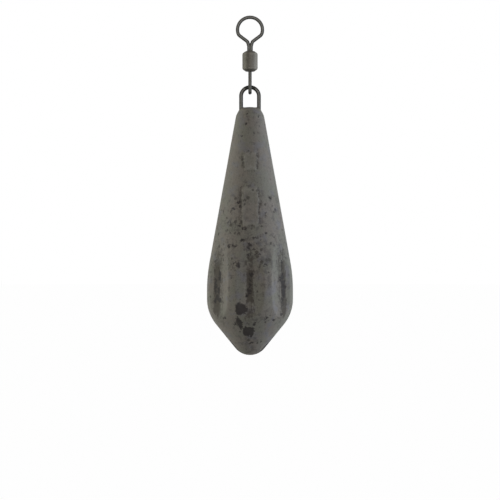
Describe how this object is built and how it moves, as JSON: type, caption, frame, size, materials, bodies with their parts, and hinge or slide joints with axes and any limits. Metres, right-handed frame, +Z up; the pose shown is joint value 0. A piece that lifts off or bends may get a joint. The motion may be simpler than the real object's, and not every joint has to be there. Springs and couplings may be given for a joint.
{
  "type": "fishing sinker",
  "caption": "Cast lead fishing sinker with a long taper, fluted belly and blunt nose cone, hung from a wire loop and a rolling swivel.",
  "frame": {"origin": "centre of the line eye's ring, the upper eye of the swivel", "axes": "+Z up, from the nose of the hanging sinker to the line eye; +Y through the hole of the line eye; +X across it"},
  "size_m": [0.0186, 0.0176, 0.0734],
  "materials": {
    "body_coat": "matte speckled coat",
    "loop_wire": "matte coat",
    "swivel_wire": "matte coat",
    "swivel_barrel": "matte coat"
  },
  "bodies": {
    "line_eye": {"line_eye": "swivel_wire"},
    "barrel": {"barrel": "swivel_barrel"},
    "link_eye": {"link_eye": "swivel_wire"},
    "sinker": {"lead_body": "body_coat", "wire_loop": "loop_wire"}
  },
  "joints": [
    {"name": "barrel_spin", "type": "hinge", "parent": "line_eye", "child": "barrel", "pos_m": [0, 0, -0.00682], "axis": [0, 0, 1], "continuous": true},
    {"name": "link_eye_spin", "type": "hinge", "parent": "barrel", "child": "link_eye", "pos_m": [0, 0, -0.00682], "axis": [0, 0, 1], "continuous": true},
    {"name": "sinker_swing", "type": "hinge", "parent": "link_eye", "child": "sinker", "pos_m": [0, 0, -0.01242], "axis": [1, 0, 0], "range_deg": [-135, 135]}
  ]
}
